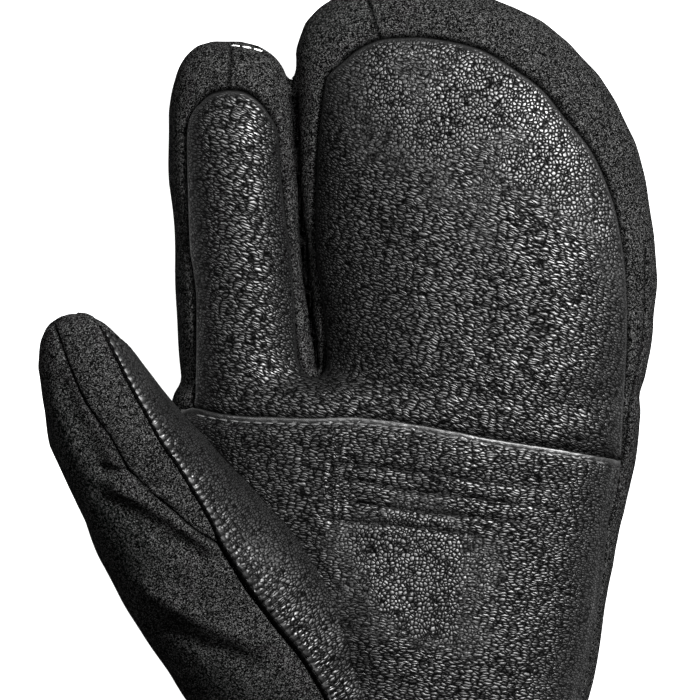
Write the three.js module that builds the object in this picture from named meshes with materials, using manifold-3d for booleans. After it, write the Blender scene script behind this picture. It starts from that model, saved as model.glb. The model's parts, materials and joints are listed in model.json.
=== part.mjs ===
// A left-hand lobster claw mitt, lying on its back with the palm up.
// The index finger has a stall of its own, the other three fingers share one lobe, and the thumb stands
// over the palm. The shell is a padded wall, hollow from the cuff to every fingertip, and is cut along its
// seams into the panels it is sewn from: black softshell cloth on the back and sides, leather on the palm.
//
// Millimetres. X runs across the palm to the little finger's side, Y to the fingertips, Z up from the palm.
import * as THREE from "three";
import { mergeVertices } from "three/addons/utils/BufferGeometryUtils.js";
import Module from "manifold-3d";

// The shell
const WALL = 5; // cloth or leather with its padding and lining
const SEAM_GAP = 0.4; // clearance between two panels where they are sewn together
const PATCH_RISE = 1; // how far the palm patch stands over the leather it laps
const REST_SINK = 1.5; // how much of the round back is pressed flat where the mitt lies

// The palm, from the fork between the fingers to the wrist
const PALM_LENGTH = 111;
const PALM_WIDTH = 122.3;
const PALM_THICKNESS = 50;
const WRIST_WIDTH = 87;
const WRIST_THICKNESS = 48;
const WRIST_SHIFT = -1; // the wrist's centre line against the palm's

// The cuff below the wrist
const CUFF_LENGTH = 62.5;
const CUFF_WIDTH = 99;
const CUFF_THICKNESS = 56;

// The lobe for three fingers
const LOBE_LENGTH = 101.5;
const LOBE_WIDTH = 91.3;
const LOBE_THICKNESS = 46;

// The index finger's stall
const INDEX_LENGTH = 87;
const INDEX_WIDTH = 39;
const INDEX_THICKNESS = 38;
const INDEX_LIFT = 3.5; // its underside stands this far off the surface

// The thumb, from its root inside the palm to its tip
const THUMB_LENGTH = 110.5;
const THUMB_WIDTH = 50;
const THUMB_THICKNESS = 46;
const THUMB_SPREAD = 32.8; // degrees away from the fingers
const THUMB_RISE = 20; // degrees up from the palm

// How square each section is: 2 is an ellipse, more is boxier
const PALM_SQUARENESS = 2.6;
const LOBE_SQUARENESS = 2.5;
const INDEX_SQUARENESS = 2.3;
const THUMB_SQUARENESS = 2.2;

// Points around a section of each form
const PALM_SIDES = 36;
const LOBE_SIDES = 32;
const INDEX_SIDES = 24;
const THUMB_SIDES = 24;
const LINING_SIDES = 0.6; // the hollow has this share of the points outside

// Where the leather meets the cloth, the cut leans in under the leather so that it crosses the wall squarely
const CUT_LEAN = 0.8;
const CUT_DEPTH = 1.8 * WALL;
const CUT_RISE = 0.5 * WALL;
const CLEAR_ABOVE = 60; // a cutter reaches this far over the surface that it cuts

// Points along the edges of the leather
const FINGER_LOOP_POINTS = 66;
const PATCH_TOP_POINTS = 14;
const PATCH_SIDE_POINTS = 10;

// Where the index stall and the lobe part, as a share of half the palm's width
const FORK_ACROSS = -0.373;

// The thumb's root inside the palm. Across and up are shares of half the palm's width and thickness there.
const THUMB_ROOT = { along: 0.65, across: -0.615, up: 0.44 };

// The palm's sections, along from the fork (0) to the wrist (1). "wrist" blends the palm's size into the
// wrist's; "width" and "height" round off the end that closes the fork.
const PALM_ROWS = [
  { along: 0.0, wrist: 0, width: 0.84, height: 0.42 },
  { along: 0.012, wrist: 0, width: 0.94, height: 0.68 },
  { along: 0.04, wrist: 0, width: 0.985, height: 0.86 },
  { along: 0.08, wrist: 0, width: 1, height: 0.95 },
  { along: 0.14, wrist: 0.05, width: 1, height: 0.99 },
  { along: 0.21, wrist: 0.12, width: 1, height: 1 },
  { along: 0.35, wrist: 0.3, width: 1, height: 1 },
  { along: 0.49, wrist: 0.465, width: 1, height: 1 },
  { along: 0.63, wrist: 0.605, width: 1, height: 1 },
  { along: 0.77, wrist: 0.775, width: 1, height: 1 },
  { along: 0.9, wrist: 0.91, width: 1, height: 1 },
  { along: 1.0, wrist: 1, width: 1, height: 1 },
];

// The cuff's sections, along from the wrist (0) to the open end (1). "flare" blends wrist into cuff.
const CUFF_ROWS = [
  { along: 0.15, flare: 0.05 },
  { along: 0.4, flare: 0.35 },
  { along: 0.7, flare: 0.75 },
  { along: 1.0, flare: 1 },
];

// A digit's sections, along from its root (0) to its tip (1). Left and right are shares of its width from
// its own line, low and high are shares of its thickness from its own level.
const LOBE_ROWS = [
  { along: -0.25, left: -0.39, right: 0.36, low: -0.36, high: 0.34 },
  { along: -0.123, left: -0.43, right: 0.44, low: -0.5, high: 0.49 },
  { along: 0.0, left: -0.447, right: 0.486, low: -0.53, high: 0.515 },
  { along: 0.108, left: -0.461, right: 0.503, low: -0.53, high: 0.51 },
  { along: 0.236, left: -0.478, right: 0.516, low: -0.51, high: 0.5 },
  { along: 0.364, left: -0.492, right: 0.507, low: -0.5, high: 0.5 },
  { along: 0.492, left: -0.501, right: 0.486, low: -0.47, high: 0.49 },
  { along: 0.595, left: -0.509, right: 0.455, low: -0.44, high: 0.475 },
  { along: 0.697, left: -0.515, right: 0.402, low: -0.4, high: 0.455 },
  { along: 0.774, left: -0.515, right: 0.351, low: -0.36, high: 0.43 },
  { along: 0.851, left: -0.51, right: 0.267, low: -0.3, high: 0.39 },
  { along: 0.903, left: -0.485, right: 0.187, low: -0.25, high: 0.345 },
  { along: 0.941, left: -0.445, right: 0.105, low: -0.195, high: 0.295 },
  { along: 0.969, left: -0.395, right: 0.03, low: -0.14, high: 0.235 },
  { along: 0.987, left: -0.34, right: -0.035, low: -0.085, high: 0.17 },
  { along: 1.0, left: -0.245, right: -0.125, low: -0.01, high: 0.07 },
];

const INDEX_ROWS = [
  { along: -0.29, left: -0.33, right: 0.46, low: -0.4, high: 0.4 },
  { along: -0.144, left: -0.42, right: 0.475, low: -0.47, high: 0.47 },
  { along: 0.0, left: -0.44, right: 0.477, low: -0.5, high: 0.5 },
  { along: 0.126, left: -0.455, right: 0.425, low: -0.5, high: 0.5 },
  { along: 0.275, left: -0.468, right: 0.385, low: -0.5, high: 0.5 },
  { along: 0.425, left: -0.485, right: 0.352, low: -0.49, high: 0.5 },
  { along: 0.575, left: -0.508, right: 0.332, low: -0.47, high: 0.49 },
  { along: 0.695, left: -0.515, right: 0.319, low: -0.44, high: 0.475 },
  { along: 0.784, left: -0.512, right: 0.305, low: -0.4, high: 0.45 },
  { along: 0.859, left: -0.492, right: 0.283, low: -0.34, high: 0.41 },
  { along: 0.919, left: -0.458, right: 0.248, low: -0.27, high: 0.35 },
  { along: 0.958, left: -0.405, right: 0.18, low: -0.19, high: 0.28 },
  { along: 0.985, left: -0.335, right: 0.085, low: -0.11, high: 0.2 },
  { along: 1.0, left: -0.235, right: -0.045, low: -0.02, high: 0.09 },
];

const THUMB_ROWS = [
  { along: -0.3, left: -0.31, right: 0.33, low: -0.33, high: 0.46 },
  { along: -0.15, left: -0.52, right: 0.44, low: -0.48, high: 0.53 },
  { along: 0.0, left: -0.568, right: 0.475, low: -0.5, high: 0.51 },
  { along: 0.15, left: -0.568, right: 0.417, low: -0.48, high: 0.48 },
  { along: 0.3, left: -0.557, right: 0.349, low: -0.45, high: 0.455 },
  { along: 0.45, left: -0.536, right: 0.276, low: -0.41, high: 0.42 },
  { along: 0.6, left: -0.495, right: 0.221, low: -0.37, high: 0.385 },
  { along: 0.75, left: -0.435, right: 0.1875, low: -0.32, high: 0.34 },
  { along: 0.86, left: -0.344, right: 0.161, low: -0.26, high: 0.28 },
  { along: 0.93, left: -0.271, right: 0.135, low: -0.195, high: 0.21 },
  { along: 0.975, left: -0.193, right: 0.083, low: -0.12, high: 0.13 },
  { along: 1.0, left: -0.115, right: -0.01, low: -0.04, high: 0.045 },
];

// The edge of the finger leather on the index stall, up its outer side, round the tip and down to the fork.
const INDEX_LEATHER = [
  { along: 0.05, across: -0.35 },
  { along: 0.18, across: -0.374 },
  { along: 0.446, across: -0.42 },
  { along: 0.7, across: -0.415 },
  { along: 0.8, across: -0.368 },
  { along: 0.845, across: -0.22 },
  { along: 0.845, across: -0.07 },
  { along: 0.793, across: 0.132 },
  { along: 0.69, across: 0.218 },
  { along: 0.446, across: 0.265 },
  { along: 0.2, across: 0.325 },
  { along: 0.05, across: 0.35 },
];

// The bottom of the cloth tongue in the fork, in shares of the index stall's width and length from the fork.
const TONGUE_END = { along: -0.011, across: -0.045 };

// The rest of that edge on the lobe, up from the fork, over the top and down the outer side.
const LOBE_LEATHER = [
  { along: 0.03, across: -0.436 },
  { along: 0.2, across: -0.453 },
  { along: 0.441, across: -0.459 },
  { along: 0.697, across: -0.442 },
  { along: 0.8, across: -0.392 },
  { along: 0.862, across: -0.26 },
  { along: 0.859, across: -0.085 },
  { along: 0.79, across: 0.1 },
  { along: 0.605, across: 0.305 },
  { along: 0.41, across: 0.402 },
  { along: 0.182, across: 0.438 },
  { along: -0.04, across: 0.426 },
];

// The top edge of the palm patch, from the index side to the little finger's side. Across is a share of
// half the palm's width.
const PATCH_TOP = [
  { along: 0.079, across: -0.935 },
  { along: 0.104, across: -0.64 },
  { along: 0.103, across: -0.35 },
  { along: 0.12, across: -0.04 },
  { along: 0.15, across: 0.3 },
  { along: 0.205, across: 0.92 },
];

// The patch's two long edges, from above its top edge to past the wrist.
const PATCH_SIDE = [
  { along: 0.135, across: 0.85 },
  { along: 0.22, across: 0.93 },
  { along: 0.3, across: 0.94 },
  { along: 0.45, across: 0.965 },
  { along: 0.7, across: 0.965 },
  { along: 1.2, across: 0.955 },
];
const PATCH_TILT = 0.12; // the index side's edge starts this share of the palm's length higher up

// Seams on the thumb's upper face, as a share of its half width from its middle. "leather" is the edge of
// the leather and "back" is where the gusset meets the back.
const THUMB_SEAMS = [
  { along: -0.35, leather: 0.2, back: 0.2 },
  { along: 0.0, leather: 0.16, back: 0.16 },
  { along: 0.3, leather: 0.27, back: 0.27 },
  { along: 0.38, leather: 0.34, back: 0.14 },
  { along: 0.5, leather: 0.43, back: 0.02 },
  { along: 0.585, leather: 0.48, back: -0.08 },
  { along: 0.72, leather: 0.55, back: -0.1 },
  { along: 0.85, leather: 0.7, back: -0.18 },
  { along: 0.94, leather: 0.87, back: -0.2 },
  { along: 1.1, leather: 0.97, back: -0.5 },
];
const THUMB_GUSSET_FROM = 0.3; // the gusset comes to its point here
const THUMB_UNDER_SEAM = 0.1; // the leather's edge on the underside, past the middle
const THUMB_GUSSET_UNDER = 0.6; // the gusset's cutter ends under the leather, this share past the middle
const THUMB_CUTS = 16; // steps along a cut
const THUMB_FAN = [0, 0.25, 0.5, 0.75, 1]; // corners of a cutter's wedge, round the thumb

const SAME_PLACE = 1e-4; // vertices this close are one

const wasm = await Module();
wasm.setup();

const radians = THREE.MathUtils.degToRad;
const mix = THREE.MathUtils.lerp;

// Any row of a table, its columns read off between the two nearest rows.
function rowAt(rows, along) {
  const next = rows.findIndex((row) => row.along >= along);
  if (next === 0) return { ...rows[0], along };
  if (next < 0) return { ...rows[rows.length - 1], along };
  const [a, b] = [rows[next - 1], rows[next]];
  const share = (along - a.along) / (b.along - a.along);
  return Object.fromEntries(Object.keys(a).map((key) => [key, mix(a[key], b[key], share)]));
}

// A closed mesh through rings of equally many points, capped at both ends.
function loft(rings) {
  const sides = rings[0].length;
  const points = rings.flat();
  const triangles = [];
  for (let ring = 0; ring + 1 < rings.length; ring++)
    for (let i = 0; i < sides; i++) {
      const [a, b] = [ring * sides + i, ring * sides + ((i + 1) % sides)];
      triangles.push(a, b, b + sides, a, b + sides, a + sides);
    }
  const last = (rings.length - 1) * sides;
  const flat = (ring) => ring.map((p) => new THREE.Vector2(p.capX, p.capY));
  for (const [a, b, c] of THREE.ShapeUtils.triangulateShape(flat(rings[0]), [])) triangles.push(a, c, b);
  for (const [a, b, c] of THREE.ShapeUtils.triangulateShape(flat(rings[rings.length - 1]), []))
    triangles.push(last + a, last + b, last + c);
  return solidOf(
    new THREE.BufferGeometry()
      .setAttribute("position", new THREE.Float32BufferAttribute(points.flatMap((p) => p.toArray()), 3))
      .setIndex(triangles),
  );
}

// A three.js geometry as a solid that can be joined and cut, its faces turned outwards.
function solidOf(geometry) {
  const bare = new THREE.BufferGeometry()
    .setAttribute("position", geometry.getAttribute("position"))
    .setIndex(geometry.index);
  const merged = mergeVertices(bare, SAME_PLACE);
  const vertProperties = merged.getAttribute("position").array;
  const triVerts = new Uint32Array(merged.index.array);
  const solid = new wasm.Manifold(new wasm.Mesh({ numProp: 3, vertProperties, triVerts }));
  if (solid.volume() > 0) return solid;
  return new wasm.Manifold(new wasm.Mesh({ numProp: 3, vertProperties, triVerts: triVerts.reverse() }));
}

// A ring point that also carries its place in the ring's own plane, by which the end caps are filled.
function ringPoint(position, capX, capY) {
  return Object.assign(position, { capX, capY });
}

// The points round a section, on a rounded box between four sides.
function sectionRing({ left, right, low, high }, squareness, points, place) {
  const sides = 2 * Math.round(points / 2);
  const [across, up] = [(left + right) / 2, (low + high) / 2];
  const power = (value) => Math.sign(value) * Math.abs(value) ** (2 / squareness);
  return Array.from({ length: sides }, (_, i) => {
    const turn = ((i + 0.5) / sides) * 2 * Math.PI;
    const u = across + ((right - left) / 2) * power(Math.cos(turn));
    const v = up + ((high - low) / 2) * power(Math.sin(turn));
    return ringPoint(place(u, v), u, v);
  });
}

function pointsAround(sides, inset) {
  return inset > 0 ? LINING_SIDES * sides : sides;
}

// How far over its middle a rounded box reaches at a share of its half width.
function crown(share, squareness) {
  return Math.max(0, 1 - Math.abs(share) ** squareness) ** (1 / squareness);
}

// The palm and cuff as one form. Inset moves its surface in by so many millimetres, or out if negative.
function palmSection(row, inset) {
  const halfWidth = mix(PALM_WIDTH, WRIST_WIDTH, row.wrist) / 2;
  const halfHeight = mix(PALM_THICKNESS, WRIST_THICKNESS, row.wrist) / 2;
  const [x, z] = [mix(0, WRIST_SHIFT, row.wrist), halfHeight - REST_SINK];
  const [across, up] = [(halfWidth - inset) * row.width, (halfHeight - inset) * row.height];
  const y = -row.along * PALM_LENGTH - inset;
  return { y, left: x - across, right: x + across, low: z - up, high: z + up };
}

function cuffSection(row, inset) {
  const [halfWidth, halfHeight] = [
    mix(WRIST_WIDTH, CUFF_WIDTH, row.flare) / 2,
    mix(WRIST_THICKNESS, CUFF_THICKNESS, row.flare) / 2,
  ];
  const [across, up] = [halfWidth - inset, halfHeight - inset];
  const [x, z] = [WRIST_SHIFT, halfHeight - REST_SINK];
  const y = -PALM_LENGTH - row.along * CUFF_LENGTH - inset;
  return { y, left: x - across, right: x + across, low: z - up, high: z + up };
}

// Whatever lies below the floor is pressed flat onto it. The lining's floor is one wall higher.
function palmForm(inset) {
  const sections = [
    ...PALM_ROWS.map((row) => palmSection(row, inset)),
    ...CUFF_ROWS.map((row) => cuffSection(row, inset)),
  ];
  return loft(
    sections.map((section) =>
      sectionRing(section, PALM_SQUARENESS, pointsAround(PALM_SIDES, inset), (x, z) => {
        return new THREE.Vector3(x, section.y, Math.max(z, inset));
      }),
    ),
  );
}

// A digit grows from a root point along its own line, with one direction across it and one over it.
function digit(root, spread, rise, size) {
  const line = new THREE.Vector3(
    -Math.sin(radians(spread)) * Math.cos(radians(rise)),
    Math.cos(radians(spread)) * Math.cos(radians(rise)),
    Math.sin(radians(rise)),
  );
  const across = new THREE.Vector3(Math.cos(radians(spread)), Math.sin(radians(spread)), 0);
  return { ...size, root, line, across, over: across.clone().cross(line) };
}

function digitPoint(part, along, across, over) {
  return part.root
    .clone()
    .addScaledVector(part.line, along)
    .addScaledVector(part.across, across)
    .addScaledVector(part.over, over);
}

function digitSection(part, row, inset) {
  const [width, thickness] = [part.width - 2 * inset, part.thickness - 2 * inset];
  return {
    left: row.left * width,
    right: row.right * width,
    low: row.low * thickness,
    high: row.high * thickness,
  };
}

function digitForm(part, inset) {
  const points = pointsAround(part.sides, inset);
  return loft(
    part.rows.map((row) =>
      sectionRing(digitSection(part, row, inset), part.squareness, points, (u, v) => {
        const point = digitPoint(part, row.along * (part.length - inset), u, v);
        point.z = Math.max(point.z, inset);
        return point;
      }),
    ),
  );
}

// The lobe and the index stall meet at the fork, each with its own side of its first full section.
const forkX = FORK_ACROSS * (PALM_WIDTH / 2);
const lobeX = forkX - rowAt(LOBE_ROWS, 0).left * LOBE_WIDTH;
const indexX = forkX - rowAt(INDEX_ROWS, 0).right * INDEX_WIDTH;

const lobe = digit(new THREE.Vector3(lobeX, 0, LOBE_THICKNESS / 2), 0, 0, {
  length: LOBE_LENGTH,
  width: LOBE_WIDTH,
  thickness: LOBE_THICKNESS,
  rows: LOBE_ROWS,
  squareness: LOBE_SQUARENESS,
  sides: LOBE_SIDES,
});
const index = digit(new THREE.Vector3(indexX, 0, INDEX_LIFT + INDEX_THICKNESS / 2), 0, 0, {
  length: INDEX_LENGTH,
  width: INDEX_WIDTH,
  thickness: INDEX_THICKNESS,
  rows: INDEX_ROWS,
  squareness: INDEX_SQUARENESS,
  sides: INDEX_SIDES,
});

const thumbSeat = palmSection(rowAt(PALM_ROWS, THUMB_ROOT.along), 0);
const thumbRoot = new THREE.Vector3(
  mix(thumbSeat.left, thumbSeat.right, (1 + THUMB_ROOT.across) / 2),
  thumbSeat.y,
  mix(thumbSeat.low, thumbSeat.high, (1 + THUMB_ROOT.up) / 2),
);
const thumb = digit(thumbRoot, THUMB_SPREAD, THUMB_RISE, {
  length: THUMB_LENGTH,
  width: THUMB_WIDTH,
  thickness: THUMB_THICKNESS,
  rows: THUMB_ROWS,
  squareness: THUMB_SQUARENESS,
  sides: THUMB_SIDES,
});

function handForm(inset) {
  return palmForm(inset).add(digitForm(lobe, inset)).add(digitForm(index, inset));
}

// The height of the palm side at a point in plan.
function surfaceAt(x, y) {
  const palmRow = rowAt(PALM_ROWS, -y / PALM_LENGTH);
  const tops = [topOf(palmSection(palmRow, 0), x, PALM_SQUARENESS, y <= 0)];
  for (const part of [lobe, index]) {
    const along = (y - part.root.y) / part.length;
    const section = digitSection(part, rowAt(part.rows, along), 0);
    const within = along >= part.rows[0].along && along <= 1;
    tops.push(part.root.z + topOf(section, x - part.root.x, part.squareness, within));
  }
  return Math.max(...tops);
}

function topOf({ left, right, low, high }, x, squareness, within) {
  if (!within) return -Infinity;
  const share = (2 * x - left - right) / (right - left);
  return (low + high) / 2 + (crown(share, squareness) * (high - low)) / 2;
}

function smooth(points, count) {
  return new THREE.CatmullRomCurve3(points, false, "centripetal").getSpacedPoints(count);
}

function onDigit(part, { along, across }) {
  return new THREE.Vector3(part.root.x + across * part.width, part.root.y + along * part.length, 0);
}

function onPalm({ along, across }) {
  const section = palmSection(rowAt(PALM_ROWS, along), 0);
  return new THREE.Vector3(mix(section.left, section.right, (1 + across) / 2), section.y, 0);
}

// A cutter for one leather panel. It stands upright over the panel's edge and leans in below it, except
// along a lapped edge, where it is upright all the way.
function panelCutter(outline, shift) {
  const edge = THREE.ShapeUtils.area(outline) < 0 ? [...outline].reverse() : outline;
  const outwards = edge.map((_, i) => {
    const [before, after] = [edge.at(i - 1), edge[(i + 1) % edge.length]];
    return new THREE.Vector3(after.y - before.y, before.x - after.x, 0).normalize();
  });
  const ring = (lean, height) =>
    edge.map((point, i) => {
      const place = point.clone().addScaledVector(outwards[i], point.lapped ? 0 : -lean);
      place.z = surfaceAt(point.x, point.y) + height;
      return ringPoint(place.add(shift), point.x, point.y);
    });
  return loft([
    ring(CUT_LEAN * CUT_DEPTH, -CUT_DEPTH),
    ring(0, 0),
    ring(-CUT_LEAN * CUT_RISE, CUT_RISE),
    ring(-CUT_LEAN * CUT_RISE, CLEAR_ABOVE),
  ]);
}

const lapped = (points) => points.map((point) => Object.assign(point, { lapped: true }));

function fingerLeatherEdge() {
  const patchTop = smooth(PATCH_TOP.map(onPalm), PATCH_TOP_POINTS);
  const loop = smooth(
    [
      ...INDEX_LEATHER.map((row) => onDigit(index, row)),
      new THREE.Vector3(forkX + TONGUE_END.across * INDEX_WIDTH, TONGUE_END.along * INDEX_LENGTH, 0),
      ...LOBE_LEATHER.map((row) => onDigit(lobe, row)),
    ],
    FINGER_LOOP_POINTS,
  );
  return [...lapped(patchTop.reverse()), ...loop];
}

function patchEdge() {
  const end = PATCH_SIDE.at(-1).along;
  const tilted = ({ along, across }) => {
    return onPalm({ along: along - PATCH_TILT * (end - along), across: -across });
  };
  const right = smooth(PATCH_SIDE.map(onPalm), PATCH_SIDE_POINTS);
  const left = smooth(PATCH_SIDE.map(tilted), PATCH_SIDE_POINTS);
  lapped([right[0], left[0], right.at(-1), left.at(-1)]);
  return [...right, ...left.reverse()];
}

// A cutter shaped like a wedge of the thumb, from one side of its upper face round to the underside.
function thumbCutter(from, column, underShare, shift) {
  const reach = Math.max(THUMB_WIDTH, THUMB_THICKNESS);
  const to = THUMB_SEAMS.at(-1).along;
  return loft(
    Array.from({ length: THUMB_CUTS + 1 }, (_, i) => {
      const along = mix(from, to, i / THUMB_CUTS);
      const { left, right, low, high } = digitSection(thumb, rowAt(THUMB_ROWS, along), 0);
      const turnAt = (share, side) => {
        return Math.atan2(side * (high - low) * crown(share, THUMB_SQUARENESS), (right - left) * share);
      };
      const upper = turnAt(rowAt(THUMB_SEAMS, along)[column], 1);
      const under = turnAt(underShare, -1);
      const corner = (turn, radius) => {
        const u = (left + right) / 2 + radius * Math.cos(turn);
        const v = (low + high) / 2 + radius * Math.sin(turn);
        return ringPoint(digitPoint(thumb, along * THUMB_LENGTH, u, v).add(shift), u, v);
      };
      return [corner(upper, 0), ...THUMB_FAN.map((share) => corner(mix(under, upper, share), reach))];
    }),
  );
}

// Everything nearer the cuff than a line across the mitt.
function beyond(y) {
  const reach = 2 * (PALM_LENGTH + CUFF_LENGTH);
  return solidOf(new THREE.BoxGeometry(reach, reach, reach).translate(0, y - reach / 2, 0));
}

// The biggest body of a solid, without the crumbs that a cut can leave beside it.
function mainBody(solid) {
  return solid.decompose().reduce((best, body) => (body.volume() > best.volume() ? body : best));
}

const IN_PLACE = new THREE.Vector3();
const TO_EACH_SIDE = [
  new THREE.Vector3(SEAM_GAP, 0, 0),
  new THREE.Vector3(-SEAM_GAP, 0, 0),
  new THREE.Vector3(0, SEAM_GAP, 0),
  new THREE.Vector3(0, -SEAM_GAP, 0),
  new THREE.Vector3(0, 0, -SEAM_GAP),
];

// Copies of a cutter one seam gap to each side, joined. They cut the neighbours clear of its panel.
function widened(cutter) {
  return TO_EACH_SIDE.map(cutter).reduce((all, copy) => all.add(copy));
}

const hand = handForm(0);
const handHollow = handForm(WALL);
const thumbHollow = digitForm(thumb, WALL);
const wristLine = -PALM_LENGTH;

const shell = hand.subtract(handHollow).subtract(thumbHollow);
const cuff = shell.intersect(beyond(wristLine));
const handShell = shell.subtract(beyond(wristLine + SEAM_GAP));

const fingerCutter = (shift) => panelCutter(fingerLeatherEdge(), shift);
const patchCutter = (shift) => panelCutter(patchEdge(), shift);
const fingerPalm = handShell.intersect(fingerCutter(IN_PLACE));
const aroundFingerPalm = widened(fingerCutter);
const aroundPatch = widened(patchCutter);
const palmPatch = handForm(-PATCH_RISE)
  .subtract(handHollow)
  .subtract(thumbHollow)
  .subtract(beyond(wristLine + SEAM_GAP))
  .intersect(patchCutter(IN_PLACE))
  .subtract(aroundFingerPalm);
const backPanel = handShell.subtract(aroundFingerPalm).subtract(aroundPatch);

const patchOutside = handForm(-PATCH_RISE - SEAM_GAP).intersect(aroundPatch);
const thumbShell = digitForm(thumb, 0)
  .subtract(thumbHollow)
  .subtract(handForm(-SEAM_GAP))
  .subtract(patchOutside);
const leatherCutter = (shift) => thumbCutter(THUMB_SEAMS[0].along, "leather", -THUMB_UNDER_SEAM, shift);
const gussetCutter = (shift) => thumbCutter(THUMB_GUSSET_FROM, "back", THUMB_GUSSET_UNDER, shift);
const thumbPalm = thumbShell.intersect(leatherCutter(IN_PLACE));
const thumbCloth = thumbShell.subtract(widened(leatherCutter));
const thumbGusset = thumbCloth.intersect(gussetCutter(IN_PLACE));
const thumbBack = thumbCloth.subtract(widened(gussetCutter));

const leather = new THREE.MeshStandardMaterial({ color: 0x1a1a1a, roughness: 0.42, metalness: 0 });
const softshell = new THREE.MeshStandardMaterial({ color: 0x202020, roughness: 0.9, metalness: 0 });

function panel(name, solid, material) {
  const { vertProperties, triVerts } = mainBody(solid).getMesh();
  const geometry = new THREE.BufferGeometry()
    .setAttribute("position", new THREE.BufferAttribute(vertProperties, 3))
    .setIndex(new THREE.BufferAttribute(triVerts, 1));
  const mesh = new THREE.Mesh(geometry, material);
  mesh.name = name;
  return mesh;
}

const mitt = new THREE.Group();
mitt.add(
  panel("back_panel", backPanel, softshell),
  panel("finger_palm", fingerPalm, leather),
  panel("palm_patch", palmPatch, leather),
  panel("thumb_back", thumbBack, softshell),
  panel("thumb_gusset", thumbGusset, softshell),
  panel("thumb_palm", thumbPalm, leather),
  panel("cuff", cuff, softshell),
);

// The origin is under the middle of the mitt, on the surface that it lies on.
const bounds = new THREE.Box3().setFromObject(mitt);
const middle = bounds.getCenter(new THREE.Vector3());
mitt.position.set(-middle.x, -middle.y, -bounds.min.z);

export default mitt;
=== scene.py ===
"""The looks of a left-hand lobster claw mitt: padded cloth shells with leather panels sewn over them."""

import json
import math

import bmesh
import bpy
import numpy as np
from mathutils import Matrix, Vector, kdtree
from mathutils.bvhtree import BVHTree
from mathutils.geometry import delaunay_2d_cdt

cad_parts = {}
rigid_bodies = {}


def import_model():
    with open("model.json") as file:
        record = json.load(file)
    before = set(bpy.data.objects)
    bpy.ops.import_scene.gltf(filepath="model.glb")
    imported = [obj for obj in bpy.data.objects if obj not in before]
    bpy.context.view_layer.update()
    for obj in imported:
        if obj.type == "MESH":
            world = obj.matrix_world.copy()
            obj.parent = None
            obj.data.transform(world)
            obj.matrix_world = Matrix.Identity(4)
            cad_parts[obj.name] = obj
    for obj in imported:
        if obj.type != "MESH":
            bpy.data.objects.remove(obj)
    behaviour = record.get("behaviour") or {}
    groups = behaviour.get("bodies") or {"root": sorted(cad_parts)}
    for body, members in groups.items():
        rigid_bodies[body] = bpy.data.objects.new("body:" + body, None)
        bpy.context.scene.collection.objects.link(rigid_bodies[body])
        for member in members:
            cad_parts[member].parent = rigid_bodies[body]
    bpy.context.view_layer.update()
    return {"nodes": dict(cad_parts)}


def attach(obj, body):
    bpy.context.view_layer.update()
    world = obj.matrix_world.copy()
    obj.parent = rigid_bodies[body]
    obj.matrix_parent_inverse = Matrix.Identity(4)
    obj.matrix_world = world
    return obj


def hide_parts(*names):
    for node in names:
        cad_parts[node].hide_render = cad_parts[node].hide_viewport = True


for leftover in list(bpy.data.objects):
    bpy.data.objects.remove(leftover, do_unlink=True)
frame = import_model()

# Lengths are in millimetres, and points of the photograph are in its pixels.
MM = 0.001
PIXEL = 0.26
PHOTO_ORIGIN = (348.2, 513.5)
PHOTO_CENTRE = (350.0, 350.0)
PHOTO_SIZE = 700
CAMERA_HEIGHT = 6000
FRAMED_HEIGHT = 38

HAND_VOXEL = 1.4
THUMB_VOXEL = 1.1
CUFF_VOXEL = 1.6
SEAM_FILL = 0.3
HAND_FINE_REACHES = (2.4, 1.0)
THUMB_FINE_REACHES = (3.0, 1.4)
WELD = 1e-6
SMOOTHING = 12
SMOOTHING_SHARES = (0.5, -0.52)
CURVE_STEP = 0.35
PANEL_STEP = 0.65
PANEL_RINGS = (0.4, 0.85, 1.4)
LEATHER_THICKNESS = 1.3
CLOTH_THICKNESS = 1.2
REACH = 300

# How far a surface stands off the shell, by its distance from the seam. Less than 0 is under the leather.
LEATHER_EDGE = {
    "distance": (0.0, 0.4, 0.85, 1.6, 4.0, 10.0, 22.0),
    "height": (-1.3, -0.45, 0.0, 0.35, 0.75, 1.2, 1.5),
}
CLOTH_EDGE = {
    "distance": (-3.0, -1.2, 0.0, 0.35, 0.8, 1.5, 4.0, 8.0, 14.0),
    "height": (-3.2, -2.8, -1.8, -0.9, -0.2, 0.15, 0.45, 0.4, 0.0),
}
GUSSET_EDGE = {
    "distance": (0.0, 0.4, 0.85, 1.6, 4.0, 9.0),
    "height": (-0.7, -0.1, 0.15, 0.35, 0.5, 0.7),
}
PATCH_TOP_EDGE = {
    "distance": (0.0, 0.3, 0.8, 1.3, 1.7, 2.1, 4.0, 9.0),
    "height": (-0.5, 0.9, 1.5, 1.3, 0.6, 1.0, 1.9, 1.5),
}
PATCH_SIDE_EDGE = {
    "distance": (0.0, 0.3, 0.7, 1.2, 1.9, 4.0, 10.0, 22.0),
    "height": (-0.7, 0.5, 0.75, 0.45, 0.45, 1.0, 1.5, 1.8),
}
THUMB_LEATHER_EDGE = {
    "distance": (0.0, 0.4, 0.9, 1.5, 2.2, 4.0, 10.0),
    "height": (-0.1, 0.55, 0.8, 0.6, 0.5, 0.75, 1.1),
}
THUMB_CLOTH_EDGE = {
    "distance": (-3.0, -1.2, 0.0, 0.3, 0.7, 1.4, 4.0, 8.0, 14.0),
    "height": (-2.6, -2.0, -0.9, 0.1, 0.4, 0.5, 0.4, 0.3, 0.0),
}
UNDER_PATCH = {
    "distance": (0.0, 0.5, 1.1, 2.2, 4.0, 6.0),
    "height": (-1.7, -1.3, -0.5, 0.1, 0.5, 0.9),
}

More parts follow.
